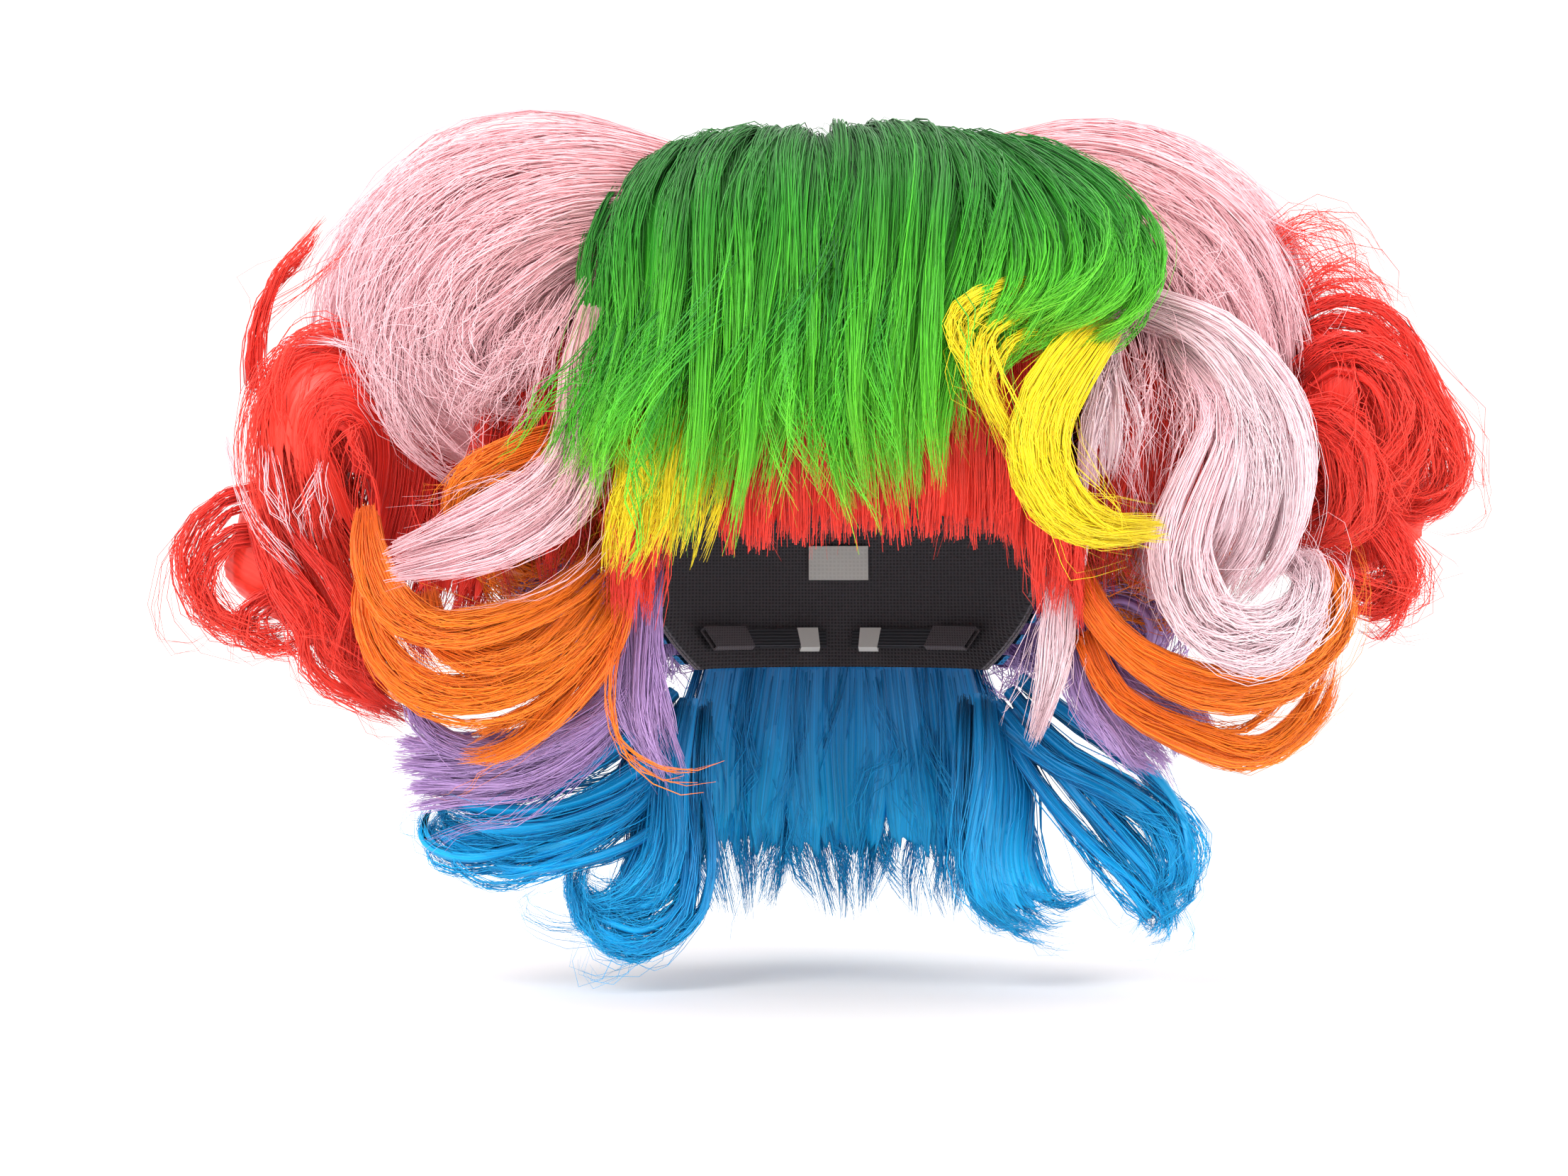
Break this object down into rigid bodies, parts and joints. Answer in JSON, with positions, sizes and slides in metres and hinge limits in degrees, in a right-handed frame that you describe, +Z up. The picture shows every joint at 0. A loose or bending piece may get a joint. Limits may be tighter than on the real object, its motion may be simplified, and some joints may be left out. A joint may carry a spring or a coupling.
{
  "type": "costume wig",
  "caption": "Big curly costume wig in pink, green, red, orange, yellow, lilac and blue on a net cap with nape adjusters.",
  "frame": {"origin": "middle of the wearer's head, level with the eyes", "axes": "+Z up, the face looks along -Y, +X towards the wearer's left ear"},
  "size_m": [0.471, 0.2871, 0.3048],
  "materials": {
    "cap_net": "matte",
    "cap_band": "matte",
    "stay_metal": "satin",
    "cap_ribbon": "satin",
    "elastic": "matte",
    "hook_plastic": "gloss",
    "label_cloth": "satin",
    "teased_base": "matte",
    "hair_green": "satin",
    "hair_yellow": "satin",
    "hair_red": "satin",
    "hair_pink": "satin",
    "hair_orange": "satin",
    "hair_lilac": "satin",
    "hair_blue": "satin"
  },
  "bodies": {
    "cap": {"crown_net": "cap_net", "front_band": "cap_band", "nape_band": "cap_band", "ear_tab_left": "cap_band", "ear_tab_right": "cap_band", "tab_stay_left": "stay_metal", "tab_stay_right": "stay_metal", "ribbon_centre": "cap_ribbon", "ribbon_left": "cap_ribbon", "ribbon_right": "cap_ribbon", "ribbon_cross": "cap_ribbon", "weft_red": "hair_red", "weft_yellow": "hair_yellow", "weft_green": "hair_green", "weft_pink": "hair_pink", "weft_orange": "hair_orange", "weft_lilac": "hair_lilac", "weft_blue": "hair_blue", "loop_tape_left": "elastic", "loop_tape_right": "elastic", "sleeve_left": "cap_band", "sleeve_right": "cap_band", "care_label": "label_cloth", "crown_pad": "teased_base", "pad_left": "teased_base", "pad_right": "teased_base", "green_left": "hair_green", "green_right": "hair_green", "green_sweep": "hair_green", "yellow_strands": "hair_yellow", "yellow_under": "hair_yellow", "red_fringe": "hair_red", "red_side_left": "hair_red", "red_side_right": "hair_red", "pink_puff_left": "hair_pink", "pink_puff_right": "hair_pink", "pink_lock_left": "hair_pink", "pink_lock_right": "hair_pink", "pink_face_lock": "hair_pink", "orange_left": "hair_orange", "orange_right": "hair_orange", "lilac_left": "hair_lilac", "lilac_right": "hair_lilac", "back_pink_left": "hair_pink", "back_pink_right": "hair_pink", "back_red_left": "hair_red", "back_red_right": "hair_red", "back_orange": "hair_orange", "back_lilac": "hair_lilac"},
    "adjuster_left": {"strap_left": "elastic", "hook_left": "hook_plastic"},
    "adjuster_right": {"strap_right": "elastic", "hook_right": "hook_plastic"},
    "yellow_hang": {"yellow_lock": "hair_yellow"},
    "red_hang_left": {"red_curl_left": "hair_red"},
    "red_hang_right": {"red_curl_right": "hair_red"},
    "blue_hang_left": {"blue_left": "hair_blue"},
    "blue_hang_right": {"blue_right": "hair_blue"},
    "blue_hang_back": {"blue_back": "hair_blue"}
  },
  "joints": [
    {"name": "adjuster_left_slide", "type": "hinge", "parent": "cap", "child": "adjuster_left", "pos_m": [0, 0.019, 0], "axis": [0, 0, 1], "range_deg": [0, 14]},
    {"name": "adjuster_right_slide", "type": "hinge", "parent": "cap", "child": "adjuster_right", "pos_m": [0, 0.019, 0], "axis": [0, 0, -1], "range_deg": [0, 14]},
    {"name": "yellow_lock_swing", "type": "hinge", "parent": "cap", "child": "yellow_hang", "pos_m": [0.08, -0.092, 0.094], "axis": [0, 1, 0], "range_deg": [-7, 7], "stiffness_Nm_per_rad": 0.004, "springref_deg": 0.9},
    {"name": "red_curl_left_swing", "type": "hinge", "parent": "cap", "child": "red_hang_left", "pos_m": [-0.168, 0.008, 0.088], "axis": [0, 1, 0], "range_deg": [-7, 7], "stiffness_Nm_per_rad": 0.06, "springref_deg": 4.22},
    {"name": "red_curl_right_swing", "type": "hinge", "parent": "cap", "child": "red_hang_right", "pos_m": [0.162, 0.008, 0.096], "axis": [0, -1, 0], "range_deg": [-7, 7], "stiffness_Nm_per_rad": 0.05, "springref_deg": 3.3},
    {"name": "blue_left_swing", "type": "hinge", "parent": "cap", "child": "blue_hang_left", "pos_m": [-0.064, 0.034, -0.046], "axis": [0, 1, 0], "range_deg": [-5, 8], "stiffness_Nm_per_rad": 0.04, "springref_deg": 2.65},
    {"name": "blue_right_swing", "type": "hinge", "parent": "cap", "child": "blue_hang_right", "pos_m": [0.064, 0.034, -0.046], "axis": [0, -1, 0], "range_deg": [-5, 8], "stiffness_Nm_per_rad": 0.04, "springref_deg": 1.6},
    {"name": "blue_back_swing", "type": "hinge", "parent": "cap", "child": "blue_hang_back", "pos_m": [0, 0.086, -0.04], "axis": [1, 0, 0], "range_deg": [-4, 8], "stiffness_Nm_per_rad": 0.04, "springref_deg": 1.15}
  ]
}
